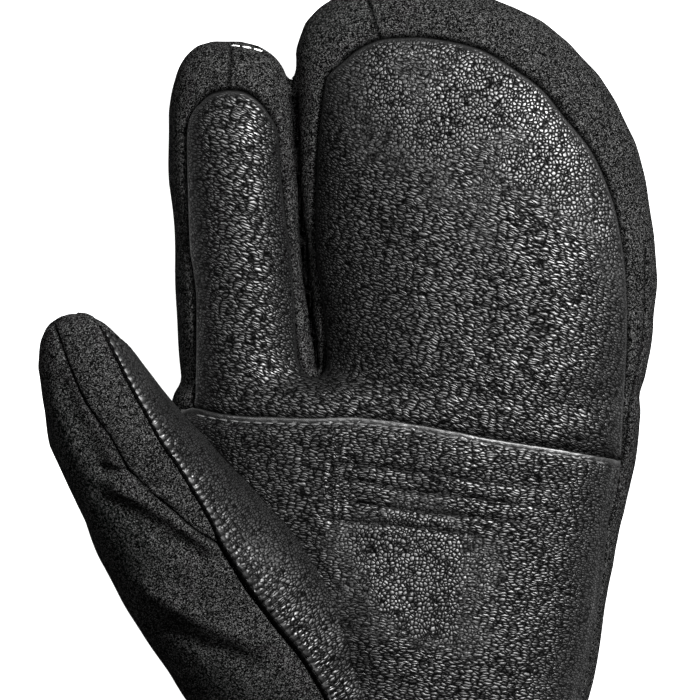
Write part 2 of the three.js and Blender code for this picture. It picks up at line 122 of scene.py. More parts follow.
# The leather of the index stall, the lobe and the palm's top, round its outline.
INDEX_LEFT = [
    (190, 425), (190, 412), (193, 395), (194, 360), (194, 300), (191, 270), (188, 250), (186, 200),
    (184.5, 150), (185, 130), (188, 116), (193, 107), (198, 102), (205, 95.5), (214, 91), (230, 88.5),
    (246, 91), (262, 102), (274, 118), (280, 132), (282, 160), (286, 207), (292, 250), (296, 300),
    (299, 350), (301, 361), (305, 371), (312, 376), (319, 375), (324, 367), (324, 335), (319, 290),
    (314, 250), (314, 191), (316, 143), (319, 112), (322, 90), (326, 75), (341, 61), (357, 48),
    (380, 38), (406, 35.5), (428, 36), (462, 42), (488, 51), (517, 69), (544, 89), (566, 116),
    (591, 147), (607, 179), (618, 212), (626, 257), (629, 301), (629, 350), (626, 400), (623, 460),
    (622, 471),
]
PANEL_FOOT = [
    (622, 471), (560, 459), (495, 449), (452, 441), (413, 434), (365, 428), (310, 428), (249, 426),
    (220, 423), (200, 420), (190, 425),
]

# The palm patch, from its folded top edge down to the wrist.
PATCH_TOP = [
    (187, 409), (198, 408), (220, 413), (249, 416), (278, 417), (310, 418), (341, 417), (365, 418),
    (413, 424), (452, 431), (495, 439), (560, 449), (621, 460),
]
PATCH_RIGHT = [
    (621, 460), (617, 483), (611, 508), (607, 529), (603, 567), (599, 600), (592, 640), (584, 680),
    (576, 720), (571, 760), (568, 796),
]
PATCH_FOOT = [(568, 796), (500, 797), (400, 797), (300, 797), (246, 796)]
PATCH_LEFT = [(246, 796), (243, 788), (250, 781), (300, 775), (330, 762), (340, 735), (344, 700)]
PATCH_UNDER_THUMB = [
    (344, 700), (342, 656), (334, 620), (318, 590), (290, 560), (222, 492), (190, 455), (172, 428),
    (180, 414), (187, 409),
]

# Seams of the thumb: the outer cloth against the gusset, and the leather's outer edge.
GUSSET_SEAM = [
    (54, 320), (60, 336), (69, 361), (79, 385), (88, 404), (100, 421), (113, 439), (128, 466),
    (138, 477), (149, 489), (171, 507), (196, 529), (219, 543),
]
GUSSET_TIP = [(94, 319), (86, 315.5), (73, 314.5), (62, 316), (54, 320)]
LEATHER_SEAM_HIGH = [
    (94, 319), (101, 331), (114, 357), (129, 387), (145, 416), (159, 442), (175, 465), (190, 489),
    (201, 507), (210, 523), (219, 543),
]
LEATHER_SEAM_LOW = [
    (219, 543), (231, 562), (247, 587), (274, 624), (297, 652), (315, 681), (328, 706), (338, 735),
]
THUMB_FOOT = [(338, 735), (348, 742), (362, 728)]
THUMB_CONTOUR = [
    (362, 728), (370, 700), (369, 656), (362, 620), (351, 595), (328, 567), (300, 544), (240, 479),
    (214, 453), (204, 438), (186, 419), (174, 403),
]
THUMB_WRAP = 1.5

# Smaller seams and folds: their points, depth, half width, and which shell carries them; the hand's seams
# also give the half width of the painted shade beside them.
HAND_SEAMS = [
    {"line": [(231, 41), (231, 52), (231, 64), (229, 76), (228, 88)], "depth": 0.8, "width": 0.5,
     "shade": 0.5},
    {"line": [(368, 0), (370, 6), (374, 20), (379, 37)], "depth": 0.8, "width": 0.5, "shade": 0.5},
    {"line": [(644, 250), (646, 290), (643, 330), (637, 370), (630, 410), (626, 450), (618, 490),
              (610, 525)],
     "depth": 0.5, "width": 0.5, "shade": 0.5},
    {"line": [(295, 97), (300, 200), (307, 280), (313, 330), (317, 366)], "depth": 1.5, "width": 0.8,
     "shade": 2.4},
]
THUMB_FOLDS = [
    {"line": [(103, 469), (116, 472), (131, 470)], "depth": 1.4, "width": 1.4},
    {"line": [(118, 488), (142, 499), (176, 522), (214, 549)], "depth": -1.3, "width": 1.6},
    {"line": [(100, 490), (130, 512), (160, 530), (195, 552)], "depth": 1.2, "width": 3.0},
    {"line": [(150, 588), (190, 612), (255, 640)], "depth": -1.3, "width": 3.0},
    {"line": [(165, 630), (205, 646), (262, 666)], "depth": 1.0, "width": 3.0},
    {"line": [(66, 385), (82, 425), (104, 470)], "depth": 1.2, "width": 3.0},
]
GUSSET_FOLDS = [
    {"line": [(150, 487), (162, 484), (176, 486)], "depth": 0.9, "width": 1.2},
    {"line": [(150, 497), (166, 495), (186, 506)], "depth": -0.4, "width": 1.4},
]

# Rows of stitching on the palm patch.
TOPSTITCH = [
    (196, 415), (220, 419.5), (249, 422.5), (278, 423.5), (310, 424.5), (341, 423.5), (365, 424.5),
    (413, 430.5), (452, 437.5), (495, 445.5), (560, 455.5), (613, 465),
]
TIP_THREAD = [(231, 45), (240, 46), (250, 47.5), (262, 51)]
QUILT_ROWS = [
    [(322, 461), (339, 463), (376, 467), (408, 472), (439, 475), (473, 481), (517, 486), (560, 491)],
    [(327, 480), (350, 481), (374, 484), (413, 492), (452, 496), (500, 503), (545, 508)],
    [(336, 499), (352, 502), (382, 507), (413, 512), (452, 516), (484, 519), (525, 523)],
    [(325, 518), (341, 521), (374, 524), (404, 527), (439, 531), (470, 534)],
]
PATCH_CREASES = [
    {"line": [(335, 430), (333, 450), (337, 470), (334, 500), (339, 530), (334, 552)], "depth": -0.4,
     "width": 0.6},
    {"line": [(341, 432), (342, 455), (340, 478), (344, 505), (341, 524)], "depth": -0.3, "width": 0.5},
    {"line": [(327, 436), (328, 460), (325, 484), (329, 512), (326, 540)], "depth": -0.25, "width": 0.5},
    {"line": [(331, 440), (331, 470), (330, 505), (333, 535)], "depth": 0.3, "width": 0.4},
    {"line": [(338, 436), (338, 466), (340, 500), (337, 540)], "depth": 0.3, "width": 0.4},
    {"line": [(270, 436), (290, 462), (306, 500), (330, 536)], "depth": -0.3, "width": 2.5},
    {"line": [(318, 540), (326, 562), (340, 580), (346, 590)], "depth": -0.3, "width": 0.8},
]
PATCH_SWELLS = [
    {"centre": (380, 612), "radius": 14, "height": 2.8},
    {"centre": (465, 472), "radius": 9, "height": 0.9},
]
QUILT_DEPTH = 0.35
QUILT_WIDTH = 1.0
NEEDLE_DEPTH = 0.35
NEEDLE_WIDTH = 0.45
QUILT_FADE = 12
STITCH_LENGTH = 2.2
STITCH_PITCH = 3.0
STITCH_RADIUS = 0.26
STITCH_STEP = 0.1
STITCH_BOW = 0.28
STITCH_SINK = 0.18
STITCH_RINGS = 5
STITCH_SIDES = 6

# The thumb's axis, from its root towards its tip, and the two directions across it.
THUMB_ROOT = np.array((-16.25, -36.15, 33.0))
THUMB_AXIS = np.array((-0.509, 0.790, 0.342))
THUMB_ACROSS = np.array((0.841, 0.542, 0.0))
THUMB_UP = np.cross(THUMB_ACROSS, THUMB_AXIS)
THUMB_FAR_EDGE = {
    "along": (48, 60, 72, 84, 93),
    "turn": (-18, -28, -32, -28, -12),
}
LEATHER_TILT = 50

# The gap between the index stall and the lobe, and how its sides are moved before and after the remesh.
GAP_LINE = [(293, 60), (295, 100), (297, 150), (300, 200), (304, 250), (309, 300), (314, 340), (317, 380)]
GAP_REACH = 8
NOTCH_OPENED = {"shift": 1.1, "top": 40, "foot": 112, "fade": 3}
NOTCH_BACK = {"shift": -0.8, "top": 40, "foot": 112, "fade": 3}
GAP_CLOSED = {"shift": -0.9, "top": 102, "foot": 380, "fade": 6}

# The calmed leather at the fork, the shade beside the seams and the puckers along the thumb's seam.
FORK = (300, 381)
FORK_REACH = 15
FORK_RIM = 3
FORK_ROUNDS = 80
SEAM_SHADE = 0.9
THUMB_SEAM_SHADE = 0.45
THUMB_LEATHER_SHADE = 0.4
PUCKER_LENGTH = 1.9
PUCKER_HEIGHT = 0.22
PUCKER_REACH = 4.5
PUCKER_MIDDLE = 1.5

# The thumb leather's fine step, and where a ray starts over the surface that it tests.
THUMB_STEP = 0.42
RAY_LIFT = 1.5

# Smooth bands of stretched leather beside the seams: how far in each lies, and how wide it is.
FINGER_TAUT = {"middle": 0.0, "width": 1.2}
PATCH_TOP_TAUT = {"middle": 0.8, "width": 0.7}
PATCH_SIDE_TAUT = {"middle": 0.6, "width": 0.4}
THUMB_TAUT = {"middle": 1.2, "width": 0.8}

# The padding's unevenness on each piece: how long and how high its swells are, and how far from a seam
# they reach their height.
SWELLS = {
    "hand": {"length": 34, "seed": 3, "octaves": 2, "height": 0.35},
    "finger_leather": {"length": 26, "seed": 5, "octaves": 3, "height": 0.3, "calm": 5},
    "patch_leather": {"length": 24, "seed": 8, "octaves": 3, "height": 0.3, "calm": 5},
    "thumb": {"length": 30, "seed": 11, "octaves": 2, "height": 0.4},
    "gusset": {"length": 22, "seed": 13, "octaves": 2, "height": 0.2, "calm": 3},
    "thumb_leather": {"length": 26, "seed": 17, "octaves": 2, "height": 0.3, "calm": 4},
    "pucker_drift": {"length": 9, "seed": 19, "octaves": 2, "height": 2.2},
    "cuff": {"length": 40, "seed": 23, "octaves": 2, "height": 0.4, "calm": 10},
}
PATCH_TOP_CALM = 6

# Where the leather has round pebbles in place of wrinkles.
PANEL_PEBBLES = {"lean": 0.7, "from": 85, "over": 60}
PATCH_PEBBLES = {"centre": (415, 580), "radii": (24, 20), "strength": 1.3}
THUMB_PEBBLES = {"at_seam": 0.4, "over": 60}

# The cuff's hem line with the painted shade along it, and where its cloth is level because it meets the
# hand.
HEM = {"from_end": 14, "depth": 0.6, "width": 1.2, "shade": 0.7, "shade_width": 0.8}
CUFF_TOP = -75

# Materials. Turn is in degrees, and stretch is how much longer than wide a wrinkle is.
LEATHERS = [
    {"name": "panel_leather", "turn": -20, "stretch": 3.6, "size": 1.0, "relief": 0.2},
    {"name": "patch_leather", "turn": -8, "stretch": 3.0, "size": 1.0, "relief": 0.2},
    {"name": "thumb_leather", "turn": 33, "stretch": 3.2, "size": 1.1, "relief": 0.1},
]
CLOTHS = [
    {"name": "softshell", "dark": 0.0002, "light": 0.042, "speckle": 1.0},
    {"name": "gusset_cloth", "dark": 0.0003, "light": 0.04, "speckle": 1.0},
]
THREADS = [
    {"name": "pale_thread", "dark": 0.01, "light": 0.06},
    {"name": "dark_thread", "dark": 0.001, "light": 0.004},
    {"name": "white_thread", "dark": 0.4, "light": 0.9},
]
CELL_RANDOMNESS = 0.85
FLECK_SIZE = 0.24
FLECK_CONTRAST = 4.0
LEATHER_WARP = {"size": 3.2, "reach": 1.5}
LEATHER_ROUGHNESS = {"crease": 0.7, "face": 0.43}
PORE_SIZE = 0.35
WEAR_SIZE = 22
TAUT_SHINE = 0.9


def at(pixel):
    """A pixel of the photograph as a point of the plan, in millimetres."""
    return ((pixel[0] - PHOTO_ORIGIN[0]) * PIXEL, (PHOTO_ORIGIN[1] - pixel[1]) * PIXEL)


def plan(pixels):
    return np.array([at(p) for p in pixels])


def resampled(points, step):
    """Evenly spaced points on the line through the given ones."""
    lengths = np.r_[0, np.cumsum(np.linalg.norm(np.diff(points, axis=0), axis=1))]
    count = max(2, int(round(lengths[-1] / step)) + 1)
    places = np.linspace(0, lengths[-1], count)
    return np.stack([np.interp(places, lengths, column) for column in points.T], axis=1)


def smooth_line(points, step=CURVE_STEP):
    """Evenly spaced points on a smooth curve through the given ones."""
    points = np.asarray(points, float)
    ends = np.vstack([2 * points[0] - points[1], points, 2 * points[-1] - points[-2]])
    t = np.linspace(0, 1, 12, endpoint=False)[:, None]
    runs = []
    for a, b, c, d in zip(ends, ends[1:], ends[2:], ends[3:]):
        runs.append(0.5 * (2 * b + (c - a) * t + (2 * a - 5 * b + 4 * c - d) * t ** 2
                           + (3 * b - a - 3 * c + d) * t ** 3))
    return resampled(np.vstack(runs + [points[-1:]]), step)


def closed_line(*runs):
    """One closed outline from smooth runs that meet at corners."""
    return np.vstack([smooth_line(plan(run))[:-1] for run in runs])


def tree_of(points):
    found = kdtree.KDTree(len(points))
    for i, p in enumerate(points):
        found.insert((p[0], p[1], p[2] if len(p) > 2 else 0), i)
    found.balance()
    return found


def distances(points, line):
    """How far each point is from the nearest of the line's points."""
    tree = tree_of(line)
    if points.shape[1] == 2:
        points = np.column_stack([points, np.zeros(len(points))])
    return np.array([tree.find(p)[2] for p in points])


def is_inside(points, outline):
    """Whether each flat point is inside the closed outline."""
    x, y = points[:, 0], points[:, 1]
    odd = np.zeros(len(points), bool)
    for (ax, ay), (bx, by) in zip(outline, np.roll(outline, -1, axis=0)):
        if ay == by:
            continue
        crosses = (ay > y) != (by > y)
        odd ^= crosses & (x < (bx - ax) * (y - ay) / (by - ay) + ax)
    return odd


def profile(table, distance):
    return np.interp(distance, table["distance"], table["height"])


def groove(distance, depth, width):
    return -depth * np.exp(-(distance / width) ** 2)


def ripple(points, length, seed, octaves=2):
    """Smooth noise from -1 to 1 that varies over about that length, from sums of tilted waves."""
    rng = np.random.default_rng(seed)
    total = np.zeros(len(points))
    weight = 0
    for octave in range(octaves):
        share = 0.5 ** octave
        for _ in range(7):
            way = rng.normal(size=3)
            way *= rng.uniform(0.6, 1.4) * 2 ** octave * 2 * math.pi / length / np.linalg.norm(way)
            total += share * np.sin(points @ way + rng.uniform(0, 2 * math.pi))
        weight += share * 7 ** 0.5 * 0.9
    return total / weight


def swells(points, piece, reach=None):
    """The padding's unevenness on a piece, in millimetres, calmed by the seam where the reach is given."""
    row = SWELLS[piece]
    height = ripple(points, row["length"], row["seed"], row["octaves"]) * row["height"]
    return height if reach is None else height * np.clip(reach / row["calm"], 0, 1)


def taut_band(distance, band):
    """1 in the middle of the band beside a seam, and 0 away from it."""
    return np.exp(-((distance - band["middle"]) / band["width"]) ** 2)


def face_normals(points, faces):
    a, b, c = (points[faces[:, i]] for i in range(3))
    return np.cross(b - a, c - a)


def normals_of(points, faces):
    """Unit vertex normals of a triangle mesh."""
    flat = face_normals(points, faces)
    total = np.zeros_like(points)
    for corner in range(3):
        for axis in range(3):
            total[:, axis] += np.bincount(faces[:, corner], flat[:, axis], len(points))
    return total / np.maximum(np.linalg.norm(total, axis=1, keepdims=True), 1e-12)


def averaged(values, edges, rounds, share=0.5):
    """Values moved towards the mean of their neighbours, several times."""
    count = np.maximum(np.bincount(edges.ravel(), minlength=len(values)), 1)
    values = values.astype(float).copy()
    flat = values.ndim == 1
    for _ in range(rounds):
        columns = [values] if flat else list(values.T)
        means = []
        for column in columns:
            total = np.bincount(edges[:, 0], column[edges[:, 1]], len(column))
            total += np.bincount(edges[:, 1], column[edges[:, 0]], len(column))
            means.append(total / count)
        mean = means[0] if flat else np.stack(means, axis=1)
        values += share * (mean - values)
    return values


def edges_of(faces):
    pairs = np.vstack([faces[:, [0, 1]], faces[:, [1, 2]], faces[:, [2, 0]]])
    return np.unique(np.sort(pairs, axis=1), axis=0)


def arrays_of(mesh):
    """A mesh's points in millimetres and its triangles."""
    points = np.zeros(len(mesh.vertices) * 3)
    mesh.vertices.foreach_get("co", points)
    mesh.calc_loop_triangles()
    faces = np.zeros(len(mesh.loop_triangles) * 3, int)
    mesh.loop_triangles.foreach_get("vertices", faces)
    return points.reshape(-1, 3) / MM, faces.reshape(-1, 3)


def mesh_of(name, points, faces):
    mesh = bpy.data.meshes.new(name)
    mesh.from_pydata((points * MM).tolist(), [], [tuple(f) for f in faces])
    mesh.polygons.foreach_set("use_smooth", [True] * len(mesh.polygons))
    mesh.update()
    return mesh


def made(name, points, faces, material, attributes=None):
    """A new object of the mitt, riding on its one body."""
    mesh = mesh_of(name, points, faces)
    for key, values in (attributes or {}).items():
        mesh.attributes.new(key, "FLOAT", "POINT").data.foreach_set("value", values.astype(np.float32))
    mesh.materials.append(material)
    piece = bpy.data.objects.new(name, mesh)
    bpy.context.scene.collection.objects.link(piece)
    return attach(piece, "root")


def shell_of(nodes, voxel):
    """The points and triangles of one smooth shell round the named solids, with their seams filled."""
    whole = bmesh.new()
    for node in nodes:
        part = bmesh.new()
        part.from_mesh(frame["nodes"][node].data)
        bmesh.ops.remove_doubles(part, verts=part.verts, dist=WELD)
        part.normal_update()
        grown_points = np.array([v.co / MM + v.normal * SEAM_FILL for v in part.verts])
        for v, point in zip(part.verts, parted(grown_points, NOTCH_OPENED)):
            v.co = Vector(point) * MM
        grown = bpy.data.meshes.new("grown")
        part.to_mesh(grown)
        part.free()
        whole.from_mesh(grown)
        bpy.data.meshes.remove(grown)
    mesh = bpy.data.meshes.new("shell")
    whole.to_mesh(mesh)
    whole.free()
    piece = bpy.data.objects.new("shell", mesh)
    bpy.context.scene.collection.objects.link(piece)
    remesh = piece.modifiers.new("voxels", "REMESH")
    remesh.mode = "VOXEL"
    remesh.voxel_size = voxel * MM
    graph = bpy.context.evaluated_depsgraph_get()
    remeshed = bpy.data.meshes.new_from_object(piece.evaluated_get(graph))
    points, faces = arrays_of(remeshed)
    bpy.data.objects.remove(piece, do_unlink=True)
    edges = edges_of(faces)
    for share in SMOOTHING_SHARES * (SMOOTHING // 2):
        points = averaged(points, edges, 1, share)
    return points, faces


def parted(points, gap):
    """Points beside the gap between the index stall and the lobe, moved away from it or towards it."""
    line = plan(GAP_LINE)[::-1]
    away = points[:, 0] - np.interp(points[:, 1], line[:, 1], line[:, 0])
    foot, top = at((0, gap["foot"]))[1], at((0, gap["top"]))[1]
    share = np.clip(1 - np.abs(away) / GAP_REACH, 0, 1) ** 2
    share *= np.clip((points[:, 1] - foot) / gap["fade"], 0, 1)
    share *= np.clip((top - points[:, 1]) / gap["fade"], 0, 1)
    moved = points.copy()
    moved[:, 0] += np.sign(away) * share * gap["shift"]
    return moved


def refined(points, faces, lines, reaches):
    """The shell with its triangles halved near the lines, once for each reach."""
    bm = bmesh.new()
    bm.from_mesh(mesh_of("refined", points, faces))
    bm.verts.ensure_lookup_table()
    tree = tree_of(np.vstack(lines))
    for reach in reaches:
        near = {v for v in bm.verts if tree.find(v.co / MM)[2] < reach}
        edges = [e for e in bm.edges if e.verts[0] in near and e.verts[1] in near]
        bmesh.ops.subdivide_edges(bm, edges=edges, cuts=1, use_grid_fill=True)
    bmesh.ops.triangulate(bm, faces=bm.faces)
    mesh = bpy.data.meshes.new("refined")
    bm.to_mesh(mesh)
    bm.free()
    return arrays_of(mesh)


def seated(tree, flat, axes=np.eye(3)):
    """Where lines along the third axis first meet the surface, coming from its far end."""
    hits = []
    for a, b in flat:
        start = Vector(axes[0] * a + axes[1] * b + axes[2] * REACH)
        hits.append(tree.ray_cast(start, Vector(-axes[2]))[0])
    met = [i for i, hit in enumerate(hits) if hit is not None]
    near_met = tree_of(np.asarray(flat)[met])
    points = []
    for (a, b), hit in zip(flat, hits):
        if hit is None:
            nearest = hits[met[near_met.find((a, b, 0))[1]]]
            guess = axes[0] * a + axes[1] * b + axes[2] * np.dot(axes[2], nearest)
            hit = tree.find_nearest(Vector(guess))[0]
        points.append(tuple(hit))
    return np.array(points)


def rim_of(faces):
    """The edges that only one triangle has, in its own order."""
    pairs = np.vstack([faces[:, [0, 1]], faces[:, [1, 2]], faces[:, [2, 0]]])
    known = set(map(tuple, pairs.tolist()))
    return sorted((a, b) for a, b in known if (b, a) not in known)


def draped(tree, outline, axes=np.eye(3), step=PANEL_STEP):
    """A fine triangle mesh that fills a flat outline and lies on the surface, and its outline there."""
    forward = np.roll(outline, -1, axis=0) - np.roll(outline, 1, axis=0)
    inward = np.stack([-forward[:, 1], forward[:, 0]], axis=1)
    inward /= np.linalg.norm(inward, axis=1, keepdims=True)
    area = np.sum(outline[:, 0] * np.roll(outline[:, 1], -1) - outline[:, 1] * np.roll(outline[:, 0], -1))
    inward *= np.sign(area)
    inner = []
    for depth in PANEL_RINGS:
        ring = resampled(outline + inward * depth, CURVE_STEP + depth * 0.25)
        ring = ring[is_inside(ring, outline)]
        inner.append(ring[distances(ring, outline) > depth * 0.94])
    low, high = outline.min(axis=0), outline.max(axis=0)
    rows = np.arange(low[1], high[1], step * 0.866)
    columns = np.arange(low[0], high[0], step)
    grid = np.array([(x + step / 2 * (i % 2), y) for i, y in enumerate(rows) for x in columns])
    grid = grid[is_inside(grid, outline)]
    inner.append(grid[distances(grid, outline) > PANEL_RINGS[-1] + step * 0.45])
    flat = np.vstack([outline] + inner)
    count = len(outline)
    result = delaunay_2d_cdt([Vector(p) for p in flat], [(i, (i + 1) % count) for i in range(count)],
                             [], 1, 1e-5)
    flat = np.array([tuple(p) for p in result[0]])
    faces = np.array([f for f in result[2]])
    turned = np.cross(flat[faces[:, 1]] - flat[faces[:, 0]], flat[faces[:, 2]] - flat[faces[:, 0]]) < 0
    faces[turned] = faces[turned][:, ::-1]
    seats = seated(tree, flat, axes)
    points = averaged(seats, edges_of(faces), 4)
    held = np.unique(rim_of(faces))
    points[held] = seats[held]
    return points, faces, seated(tree, outline, axes)


def thickened(points, faces, thickness):
    """A sheet's points and faces closed into a thin solid, inwards from its outer face."""
    inner = points - normals_of(points, faces) * thickness
    count = len(points)
    sides = [(b, a, a + count, b + count) for a, b in rim_of(faces)]
    shown = [tuple(f) for f in faces]
    hidden = [tuple(f + count) for f in faces[:, ::-1]]
    return np.vstack([points, inner]), shown + hidden + sides


def layered(name, points, faces, thickness, material, attributes):
    """A new piece of leather or cloth of that thickness, from its outer face."""
    solid, solid_faces = thickened(points, faces, thickness)
    return made(name, solid, solid_faces, material, {k: np.tile(v, 2) for k, v in attributes.items()})


def marked(tree, marks, points, axes=np.eye(3)):
    """The summed depth of the marks, each a groove or a ridge along a line laid on the surface."""
    total = np.zeros(len(points))
    for mark in marks:
        line = seated(tree, smooth_line(plan(mark["line"])), axes)
        total += groove(distances(points, line), mark["depth"], mark["width"])
    return total


class Net:
    """Adds nodes to a material and links them."""

    def __init__(self, name):
        self.material = bpy.data.materials.new(name)
        self.material.use_nodes = True
        self.tree = self.material.node_tree
        self.shader = self.tree.nodes["Principled BSDF"]

    def add(self, kind, links=None, **settings):
        node = self.tree.nodes.new(kind)
        for key, value in settings.items():
            if key in node.bl_rna.properties:
                setattr(node, key, value)
            else:
                node.inputs[key.replace("_", " ").title()].default_value = value
        for key, source in (links or {}).items():
            self.tree.links.new(source, node.inputs[key])
        return node

    def math(self, operation, *values):
        node = self.tree.nodes.new("ShaderNodeMath")
        node.operation = operation
        for place, value in enumerate(values):
            if isinstance(value, (int, float)):
                node.inputs[place].default_value = value
            else:
                self.tree.links.new(value, node.inputs[place])
        return node.outputs[0]

    def ranged(self, value, from_low, from_high, to_low, to_high):
        node = self.add("ShaderNodeMapRange", {"Value": value}, interpolation_type="SMOOTHSTEP")
        for key, number in zip(("From Min", "From Max", "To Min", "To Max"),
                               (from_low, from_high, to_low, to_high)):
            node.inputs[key].default_value = number
        return node.outputs["Result"]

    def noise(self, vector, size, detail=2.0, roughness=0.5):
        node = self.add("ShaderNodeTexNoise", {"Vector": vector})
        node.inputs["Scale"].default_value = 1 / (size * MM)
        node.inputs["Detail"].default_value = detail
        node.inputs["Roughness"].default_value = roughness
        return node

    def between(self, factor, low, high):
        """A number between two others."""
        node = self.add("ShaderNodeMix", data_type="FLOAT")
        for key, source in (("Factor", factor), ("A", low), ("B", high)):
            self.tree.links.new(source, node.inputs[key])
        return node.outputs["Result"]

    def mixed(self, factor, low, high):
        """A colour between two others."""
        node = self.tree.nodes.new("ShaderNodeMix")
        node.data_type = "RGBA"
        self.tree.links.new(factor, node.inputs["Factor"])
        node.inputs["A"].default_value = low
        node.inputs["B"].default_value = high
        return node.outputs["Result"]


def cells(net, vector, size, crease, relief):
    """Rounded cells: their domed height in millimetres, and 0 in the crease round each and 1 elsewhere."""
    scale = 1 / (size * MM)
    near = net.add("ShaderNodeTexVoronoi", {"Vector": vector}, feature="F1", scale=scale,
                   randomness=CELL_RANDOMNESS)
    edge = net.add("ShaderNodeTexVoronoi", {"Vector": vector}, feature="DISTANCE_TO_EDGE", scale=scale,
                   randomness=CELL_RANDOMNESS)
    reach = near.outputs["Distance"]
    dome = net.math("MULTIPLY", net.math("MULTIPLY", reach, reach), -relief * size)
    return dome, net.ranged(edge.outputs["Distance"], 0.02, crease, 0.0, 1.0)


def leather(name, turn, stretch, size, relief):
    """Black grained leather: round pebbles where the pebble attribute is 1, and wrinkles along turn at 0.
    Its creases and the band beside its seams are painted darker and with less reflection, as painted shade.
    """
    net = Net(name)
    place = net.add("ShaderNodeTexCoord").outputs["Object"]
    warp = net.noise(place, LEATHER_WARP["size"]).outputs["Color"]
    centred = net.add("ShaderNodeVectorMath", {0: warp}, operation="SUBTRACT")
    centred.inputs[1].default_value = (0.5, 0.5, 0.5)
    scaled = net.add("ShaderNodeVectorMath", {0: centred.outputs[0]}, operation="SCALE")
    scaled.inputs["Scale"].default_value = LEATHER_WARP["reach"] * MM
    warped = net.add("ShaderNodeVectorMath", {0: place, 1: scaled.outputs[0]}, operation="ADD").outputs[0]
    drawn = net.add("ShaderNodeMapping", {"Vector": warped}, vector_type="TEXTURE")
    drawn.inputs["Rotation"].default_value = (0, 0, math.radians(turn))
    drawn.inputs["Scale"].default_value = (stretch, 1, 1.3)
    pebbles, pebble_face = cells(net, warped, size, 0.3, relief)
    wrinkles, wrinkle_face = cells(net, drawn.outputs[0], size * 0.66, 0.36, relief * 1.5)
    amount = net.add("ShaderNodeAttribute", attribute_name="pebble").outputs["Fac"]
    wear = net.noise(place, WEAR_SIZE, 2).outputs["Fac"]
    amount = net.math("ADD", amount, net.ranged(wear, 0.35, 0.65, -0.25, 0.25))
    amount = net.ranged(amount, 0.25, 0.75, 0.0, 1.0)
    pores = net.noise(place, PORE_SIZE, 2, 0.6).outputs["Fac"]
    taut = net.add("ShaderNodeAttribute", attribute_name="taut").outputs["Fac"]
    grained = net.between(amount, wrinkle_face, pebble_face)
    face = net.math("MAXIMUM", grained, net.math("MULTIPLY", taut, TAUT_SHINE))
    grain = net.math("MULTIPLY_ADD", face, 0.3 * relief, net.between(amount, wrinkles, pebbles))
    height = net.math("MULTIPLY_ADD", pores, 0.12 * relief, grain)
    strength = net.math("MULTIPLY_ADD", taut, -0.8, 1.0)
    bump = net.add("ShaderNodeBump", {"Height": height, "Strength": strength})
    bump.inputs["Distance"].default_value = 1.0 * MM
    shader = net.shader
    net.tree.links.new(bump.outputs["Normal"], shader.inputs["Normal"])
    # Painted shade: the colour is turned down in the grain's creases and beside the seams, where shade would
    # fall; the pores add a random tone.
    tone_and_shade = net.math("MULTIPLY", face, net.ranged(pores, 0.3, 0.7, 0.7, 1.0))
    seam = net.add("ShaderNodeAttribute", attribute_name="seam").outputs["Fac"]
    tone_and_shade = net.math("MULTIPLY", tone_and_shade, seam)
    colour = net.mixed(tone_and_shade, (0.0001, 0.0001, 0.0001, 1), (0.0016, 0.0016, 0.0016, 1))
    net.tree.links.new(colour, shader.inputs["Base Color"])
    # Painted shade: the reflection is nearly taken out in the creases and beside the seams.
    tint = net.mixed(tone_and_shade, (0.01, 0.01, 0.01, 1), (1, 1, 1, 1))
    net.tree.links.new(tint, shader.inputs["Specular Tint"])
    rough = net.ranged(face, 0.1, 0.9, LEATHER_ROUGHNESS["crease"], LEATHER_ROUGHNESS["face"])
    rough = net.math("ADD", rough, net.ranged(wear, 0.3, 0.7, -0.04, 0.06))
    net.tree.links.new(rough, shader.inputs["Roughness"])
    shader.inputs["Specular IOR Level"].default_value = 0.5
    return net.material


def cloth(name, dark, light, speckle):
    """Matte black softshell with a fine speckle in its close weave, darkened beside its seams by painted
    shade from the seam attribute.
    """
    net = Net(name)
    place = net.add("ShaderNodeTexCoord").outputs["Object"]
    flecks = net.add("ShaderNodeTexVoronoi", {"Vector": place}, feature="F1", scale=1 / (FLECK_SIZE * MM))
    level = net.add("ShaderNodeSeparateColor", {0: flecks.outputs["Color"]}).outputs[0]
    fleck = net.math("POWER", level, FLECK_CONTRAST)
    fuzz = net.noise(place, 1.4, 3, 0.65).outputs["Fac"]
    tone_and_shade = net.math("MULTIPLY", fleck, net.ranged(fuzz, 0.3, 0.7, 0.8, 1.0))
    # Painted shade: the seam attribute darkens the cloth beside its seams; the flecks and fuzz are the
    # weave's own tone.
    tone_and_shade = net.math("MULTIPLY", tone_and_shade, net.add("ShaderNodeAttribute", attribute_name="seam").outputs["Fac"])
    colour = net.mixed(tone_and_shade, (dark, dark, dark, 1), (light, light, light * 0.99, 1))
    net.tree.links.new(colour, net.shader.inputs["Base Color"])
    height = net.math("ADD", fleck, net.math("MULTIPLY", fuzz, 0.6))
    bump = net.add("ShaderNodeBump", {"Height": height})
    bump.inputs["Strength"].default_value = speckle
    bump.inputs["Distance"].default_value = 0.1 * MM
    net.tree.links.new(bump.outputs["Normal"], net.shader.inputs["Normal"])
    rough = net.ranged(fuzz, 0.3, 0.7, 0.78, 0.92)
    net.tree.links.new(rough, net.shader.inputs["Roughness"])
    net.shader.inputs["Specular IOR Level"].default_value = 0.0
    return net.material


def thread_material(name, dark, light):
    net = Net(name)
    place = net.add("ShaderNodeTexCoord").outputs["Object"]
    twist = net.noise(place, 0.3, 2).outputs["Fac"]
    net.tree.links.new(net.mixed(twist, (dark, dark, dark, 1), (light, light, light, 1)),
                       net.shader.inputs["Base Color"])
    bump = net.add("ShaderNodeBump", {"Height": twist})
    bump.inputs["Distance"].default_value = 0.1 * MM
    net.tree.links.new(bump.outputs["Normal"], net.shader.inputs["Normal"])
    net.shader.inputs["Roughness"].default_value = 0.6
    net.shader.inputs["Specular IOR Level"].default_value = 0.1
    return net.material


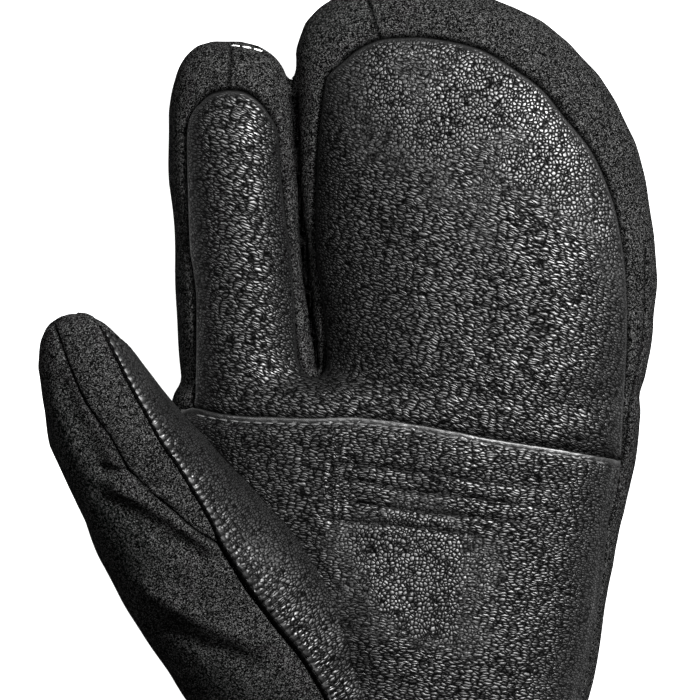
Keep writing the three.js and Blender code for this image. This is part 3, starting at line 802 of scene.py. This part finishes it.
def declared(piece, node):
    """Hides the model's solid that the piece stands in for."""
    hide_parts(node)
    return piece


panel_leather, patch_leather, thumb_leather = [leather(**row) for row in LEATHERS]
softshell, gusset_cloth = [cloth(**row) for row in CLOTHS]
pale_thread, dark_thread, white_thread = [thread_material(**row) for row in THREADS]

# The hand: a padded cloth shell, pressed down where leather is sewn over it.
hand, hand_faces = shell_of(["back_panel", "finger_palm", "palm_patch"], HAND_VOXEL)
hand = parted(parted(hand, NOTCH_BACK), GAP_CLOSED)
hand_tree = BVHTree.FromPolygons(hand.tolist(), hand_faces.tolist())
finger_outline = closed_line(INDEX_LEFT, PANEL_FOOT)
patch_outline = closed_line(PATCH_TOP, PATCH_RIGHT, PATCH_FOOT, PATCH_LEFT, PATCH_UNDER_THUMB)
finger_panel, finger_faces, finger_rim = draped(hand_tree, finger_outline)
patch, patch_faces, patch_rim = draped(hand_tree, patch_outline)
patch_top = seated(hand_tree, smooth_line(plan(PATCH_TOP)))
calm = averaged(finger_panel, edges_of(finger_faces), FORK_ROUNDS)
near_fork = np.exp(-(np.linalg.norm(finger_panel[:, :2] - at(FORK), axis=1) / FORK_REACH) ** 2)
near_fork *= np.clip(distances(finger_panel, finger_rim) / FORK_RIM, 0, 1)
finger_panel += (calm - finger_panel) * near_fork[:, None]

seam_lines = [seated(hand_tree, smooth_line(plan(s["line"]))) for s in HAND_SEAMS]
hand, hand_faces = refined(hand, hand_faces, [finger_rim, patch_rim] + seam_lines, HAND_FINE_REACHES)
normals = normals_of(hand, hand_faces)
rim = np.vstack([finger_rim, patch_rim])
reach = distances(hand, rim)
covered = is_inside(hand[:, :2], finger_outline) | is_inside(hand[:, :2], patch_outline)
outer = np.array([hand_tree.ray_cast(Vector(p + n * RAY_LIFT), Vector((0, 0, 1)))[0] is None
                  for p, n in zip(hand, normals)])
covered &= outer & (normals[:, 2] > 0)
press = profile(CLOTH_EDGE, np.where(covered, -reach, reach))
press += np.where(outer, swells(hand, "hand"), 0)
# Painted shade: the cloth is darkened beside the leather's rim and along the smaller seams, most widely in
# the gap between the index stall and the lobe.
shade = np.clip(reach / SEAM_SHADE, 0, 1)
for seam, line in zip(HAND_SEAMS, seam_lines):
    away = distances(hand, line)
    press += groove(away, seam["depth"], seam["width"])
    shade *= 1 - 0.85 * np.exp(-(away / seam["shade"]) ** 2)
hand = hand + normals * press[:, None]
hand[:, 2] = np.maximum(hand[:, 2], 0)
back = made("back_softshell", hand, hand_faces, softshell, {"seam": shade})
declared(back, "back_panel")

# The leather over the index stall, the lobe and the palm's top.
normals = normals_of(finger_panel, finger_faces)
reach = distances(finger_panel, finger_rim)
from_patch = distances(finger_panel, patch_top)
height = profile(LEATHER_EDGE, reach)
from_patch[is_inside(finger_panel[:, :2], patch_outline)] = 0
under_patch = from_patch < UNDER_PATCH["distance"][-1]
height = np.where(under_patch, np.minimum(height, profile(UNDER_PATCH, from_patch)), height)
height += swells(finger_panel, "finger_leather", reach)
finger_panel = finger_panel + normals * height[:, None]
flat_x, flat_y = finger_panel[:, 0], finger_panel[:, 1]
pebble = flat_x * PANEL_PEBBLES["lean"] + flat_y - PANEL_PEBBLES["from"]
pebble = np.clip(pebble / PANEL_PEBBLES["over"], 0, 1)
# The seam mark is painted shade: the leather is darkened beside its rim and under the patch's folded edge.
marks = {"pebble": pebble, "seam": np.clip(np.minimum(reach, from_patch) / SEAM_SHADE, 0, 1),
         "taut": taut_band(reach, FINGER_TAUT)}
finger_piece = layered("finger_leather", finger_panel, finger_faces, LEATHER_THICKNESS, panel_leather, marks)
declared(finger_piece, "finger_palm")

# The palm patch, folded at its top edge, lapped over the leather above and quilted.
normals = normals_of(patch, patch_faces)
from_top = distances(patch, patch_top)
from_side = distances(patch, seated(hand_tree, closed_line(PATCH_RIGHT)))
height = np.minimum(profile(PATCH_TOP_EDGE, from_top), profile(PATCH_SIDE_EDGE, from_side))
quilt = [seated(hand_tree, smooth_line(plan(row))) for row in QUILT_ROWS]
for row in quilt:
    ends = distances(patch, row[[0, -1]])
    depth = QUILT_DEPTH * np.clip(ends / QUILT_FADE, 0.25, 1)
    from_row = distances(patch, row)
    height += groove(from_row, depth, QUILT_WIDTH) + groove(from_row, NEEDLE_DEPTH, NEEDLE_WIDTH)
height += marked(hand_tree, PATCH_CREASES, patch)
for swell in PATCH_SWELLS:
    away = np.linalg.norm(patch[:, :2] - at(swell["centre"]), axis=1)
    height -= groove(away, swell["height"], swell["radius"])
height += swells(patch, "patch_leather", from_side) * np.clip(from_top / PATCH_TOP_CALM, 0, 1)
patch = patch + normals * height[:, None]
off_centre = (patch[:, :2] - at(PATCH_PEBBLES["centre"])) / PATCH_PEBBLES["radii"]
pebble = np.clip(PATCH_PEBBLES["strength"] - np.linalg.norm(off_centre, axis=1), 0, 1)
# The seam mark is painted shade beside the folded top edge and the right side.
marks = {"pebble": pebble, "seam": np.clip(np.minimum(from_top * 2.5, from_side) / SEAM_SHADE, 0, 1),
         "taut": np.maximum(taut_band(from_top, PATCH_TOP_TAUT), taut_band(from_side, PATCH_SIDE_TAUT))}
patch_piece = layered("patch_leather", patch, patch_faces, LEATHER_THICKNESS, patch_leather, marks)
declared(patch_piece, "palm_patch")

# The thumb: its own shell, with the gusset above and the leather on the side that faces the palm.
thumb, thumb_faces = shell_of(["thumb_back", "thumb_gusset", "thumb_palm"], THUMB_VOXEL)
thumb_tree = BVHTree.FromPolygons(thumb.tolist(), thumb_faces.tolist())
gusset_outline = closed_line(GUSSET_SEAM, LEATHER_SEAM_HIGH[::-1], GUSSET_TIP)
gusset, gusset_faces, gusset_rim = draped(thumb_tree, gusset_outline)
tilt = math.radians(LEATHER_TILT)
facing = THUMB_UP * math.cos(tilt) + THUMB_ACROSS * math.sin(tilt)
sideways = np.cross(facing, THUMB_AXIS)
leather_axes = np.array([THUMB_AXIS, -sideways, facing])
near_edge = seated(thumb_tree, smooth_line(plan(LEATHER_SEAM_HIGH + LEATHER_SEAM_LOW[1:])))[8:]
foot = seated(thumb_tree, smooth_line(plan(THUMB_FOOT)))
contour = seated(thumb_tree, smooth_line(plan(THUMB_CONTOUR)))
far_edge = []
for along, turn in zip(THUMB_FAR_EDGE["along"], THUMB_FAR_EDGE["turn"]):
    angle = math.radians(turn)
    way = THUMB_ACROSS * math.cos(angle) + THUMB_UP * math.sin(angle)
    start = THUMB_ROOT + THUMB_AXIS * along
    hit = thumb_tree.ray_cast(Vector(start + way * 80), Vector(-way))[0]
    far_edge.append(tuple(hit) if hit else tuple(start + way * 18))
wrapped = contour + leather_axes[1] * THUMB_WRAP
around = np.vstack([wrapped[::20], far_edge, near_edge[:1]]) @ leather_axes[:2].T
leather_outline = np.vstack([near_edge[:-1] @ leather_axes[:2].T, foot[:-1] @ leather_axes[:2].T,
                             smooth_line(around)[:-1]])
palm_side, palm_side_faces, palm_side_rim = draped(thumb_tree, leather_outline, leather_axes, THUMB_STEP)

fold_lines = [seated(thumb_tree, smooth_line(plan(f["line"]))) for f in THUMB_FOLDS]
thumb, thumb_faces = refined(thumb, thumb_faces, [gusset_rim, palm_side_rim], THUMB_FINE_REACHES)
normals = normals_of(thumb, thumb_faces)
reach = distances(thumb, np.vstack([gusset_rim, palm_side_rim]))
under_gusset = is_inside(thumb[:, :2], gusset_outline) & (normals[:, 2] > 0)
under_leather = is_inside(thumb @ leather_axes[:2].T, leather_outline) & (normals @ facing > 0)
press = profile(THUMB_CLOTH_EDGE, np.where(under_gusset | under_leather, -reach, reach))
press += swells(thumb, "thumb")
for fold, line in zip(THUMB_FOLDS, fold_lines):
    press += groove(distances(thumb, line), fold["depth"], fold["width"])
# The seam mark is painted shade beside the gusset and the leather.
marks = {"seam": np.clip(reach / THUMB_SEAM_SHADE, 0, 1)}
thumb_piece = made("thumb_softshell", thumb + normals * press[:, None], thumb_faces, softshell, marks)
declared(thumb_piece, "thumb_back")

normals = normals_of(gusset, gusset_faces)
reach = distances(gusset, gusset_rim)
from_seam = distances(gusset, seated(thumb_tree, smooth_line(plan(GUSSET_SEAM))))
height = profile(GUSSET_EDGE, from_seam) + marked(thumb_tree, GUSSET_FOLDS, gusset)
height += swells(gusset, "gusset", reach)
gusset = gusset + normals * height[:, None]
# The seam mark is painted shade beside the gusset's seam.
marks = {"seam": np.clip(from_seam / THUMB_SEAM_SHADE, 0, 1)}
gusset_piece = layered("gusset_softshell", gusset, gusset_faces, CLOTH_THICKNESS, gusset_cloth, marks)
declared(gusset_piece, "thumb_gusset")

normals = normals_of(palm_side, palm_side_faces)
reach = distances(palm_side, palm_side_rim)
near = distances(palm_side, near_edge)
along = (palm_side - THUMB_ROOT) @ THUMB_AXIS
height = profile(THUMB_LEATHER_EDGE, reach)
puckers = np.sin(along * 2 * math.pi / PUCKER_LENGTH + swells(palm_side, "pucker_drift"))
height += puckers * PUCKER_HEIGHT * np.exp(-((near - PUCKER_MIDDLE) / PUCKER_REACH) ** 2)
height += swells(palm_side, "thumb_leather", reach)
palm_side = palm_side + normals * height[:, None]
pebble = np.clip(THUMB_PEBBLES["at_seam"] - near / THUMB_PEBBLES["over"], 0, 1)
# The seam mark is painted shade beside the leather's rim.
marks = {"pebble": pebble, "seam": np.clip(reach / THUMB_LEATHER_SHADE, 0, 1),
         "taut": taut_band(near, THUMB_TAUT)}
leather_piece = layered("thumb_leather", palm_side, palm_side_faces, LEATHER_THICKNESS, thumb_leather, marks)
declared(leather_piece, "thumb_palm")

# The cuff, which the photograph doesn't show.
cuff, cuff_faces = shell_of(["cuff"], CUFF_VOXEL)
normals = normals_of(cuff, cuff_faces)
hem = np.abs(cuff[:, 1] - cuff[:, 1].min() - HEM["from_end"])
from_hand = np.abs(cuff[:, 1] - CUFF_TOP)
press = groove(hem, HEM["depth"], HEM["width"]) + swells(cuff, "cuff", from_hand)
cuff = cuff + normals * press[:, None]
cuff[:, 2] = np.maximum(cuff[:, 2], 0)
# The seam mark is painted shade along the hem groove.
marks = {"seam": 1 + groove(hem, HEM["shade"], HEM["shade_width"])}
cuff_piece = made("cuff_softshell", cuff, cuff_faces, softshell, marks)
declared(cuff_piece, "cuff")


def stitched(name, line, tree, material):
    """One row of thread, a rounded run for each stitch, seated on the surface along the line."""
    places = seated(tree, smooth_line(plan(line), STITCH_STEP))
    points, faces = [], []
    rings, sides = STITCH_RINGS, STITCH_SIDES
    run = int(STITCH_LENGTH / STITCH_STEP)
    for first in range(0, len(places) - run, int(STITCH_PITCH / STITCH_STEP)):
        start, end = places[first], places[first + run]
        way = (end - start) / np.linalg.norm(end - start)
        side = np.cross(way, (0, 0, 1))
        side /= np.linalg.norm(side)
        up = np.cross(side, way)
        base = len(points)
        for ring in range(rings):
            share = ring / (rings - 1)
            bow = math.sin(math.pi * (0.08 + 0.84 * share))
            middle = start + (end - start) * share + up * (bow * STITCH_BOW - STITCH_SINK)
            for turn in range(sides):
                angle = 2 * math.pi * turn / sides
                spoke = side * math.cos(angle) + up * math.sin(angle)
                points.append(middle + spoke * STITCH_RADIUS * (0.45 + 0.55 * bow))
        for ring in range(rings - 1):
            for turn in range(sides):
                a = base + ring * sides + turn
                b = base + ring * sides + (turn + 1) % sides
                faces.append((a, b, b + sides, a + sides))
        faces.append(tuple(base + turn for turn in range(sides))[::-1])
        faces.append(tuple(base + (rings - 1) * sides + turn for turn in range(sides)))
    return made(name, np.array(points), faces, material)


patch_tree = BVHTree.FromPolygons(patch.tolist(), patch_faces.tolist())
rows = {"topstitch": TOPSTITCH}
rows.update({f"quilting_{i + 1}": row for i, row in enumerate(QUILT_ROWS)})
for name, line in rows.items():
    thread = pale_thread if name == "topstitch" else dark_thread
    stitched(name, line, patch_tree, thread)
tip_tree = BVHTree.FromPolygons(hand.tolist(), hand_faces.tolist())
stitched("tip_stitch", TIP_THREAD, tip_tree, white_thread)

# The floor, the light and the camera.
FLOOR_SIZE = 6000
floor_mesh = mesh_of("floor", np.array([(x, y, -0.1) for x, y in ((-1, -1), (1, -1), (1, 1), (-1, 1))])
                     * (FLOOR_SIZE / 2, FLOOR_SIZE / 2, 1), [(0, 1, 2, 3)])
floor = bpy.data.objects.new("floor", floor_mesh)
bpy.context.scene.collection.objects.link(floor)
floor_net = Net("floor_paint")
floor_place = floor_net.add("ShaderNodeTexCoord").outputs["Object"]
floor_tone = floor_net.noise(floor_place, 60, 2).outputs["Fac"]
floor_net.tree.links.new(floor_net.mixed(floor_tone, (0.2, 0.2, 0.2, 1), (0.22, 0.22, 0.22, 1)),
                         floor_net.shader.inputs["Base Color"])
floor_net.shader.inputs["Roughness"].default_value = 0.9
floor_net.shader.inputs["Emission Color"].default_value = (1, 1, 1, 1)
floor_seen = floor_net.add("ShaderNodeLightPath").outputs["Is Camera Ray"]
floor_net.tree.links.new(floor_net.ranged(floor_seen, 0, 1, 0.1, 1.0),
                         floor_net.shader.inputs["Emission Strength"])
floor.data.materials.append(floor_net.material)

LIGHTS = [
    {"name": "key", "from": (480, 450, 800), "size": 300, "power": 72.0},
    {"name": "top", "from": (0, 800, 900), "size": 300, "power": 6.0},
    {"name": "left", "from": (-450, 450, 900), "size": 300, "power": 8.0},
]
MITT_CENTRE = (0, 20, 20)
WORLD_LIGHT = 0.04
for light in LIGHTS:
    data = bpy.data.lights.new(light["name"], "AREA")
    data.shape = "DISK"
    data.size = light["size"] * MM
    data.energy = light["power"]
    lamp = bpy.data.objects.new(light["name"], data)
    lamp.location = Vector(light["from"]) * MM
    toward = Vector(MITT_CENTRE) - Vector(light["from"])
    lamp.rotation_euler = toward.to_track_quat("-Z", "Y").to_euler()
    bpy.context.scene.collection.objects.link(lamp)

world = bpy.data.worlds.new("studio")
world.use_nodes = True
background = world.node_tree.nodes["Background"]
background.inputs["Color"].default_value = (1, 1, 1, 1)
seen = world.node_tree.nodes.new("ShaderNodeLightPath")
strength = world.node_tree.nodes.new("ShaderNodeMapRange")
strength.inputs["To Min"].default_value = WORLD_LIGHT
strength.inputs["To Max"].default_value = 1.0
world.node_tree.links.new(seen.outputs["Is Camera Ray"], strength.inputs["Value"])
world.node_tree.links.new(strength.outputs["Result"], background.inputs["Strength"])
bpy.context.scene.world = world
bpy.context.scene.view_settings.view_transform = "Standard"
bpy.context.scene.view_settings.look = "None"

camera_data = bpy.data.cameras.new("camera")
camera_data.sensor_width = 36
camera_data.lens = 36 * (CAMERA_HEIGHT - FRAMED_HEIGHT) / (PHOTO_SIZE * PIXEL)
camera_data.clip_end = 20
camera = bpy.data.objects.new("camera", camera_data)
middle_x, middle_y = at(PHOTO_CENTRE)
camera.location = Vector((middle_x, middle_y, CAMERA_HEIGHT)) * MM
camera.rotation_euler = (0, 0, 0)
bpy.context.scene.collection.objects.link(camera)
bpy.context.scene.camera = camera
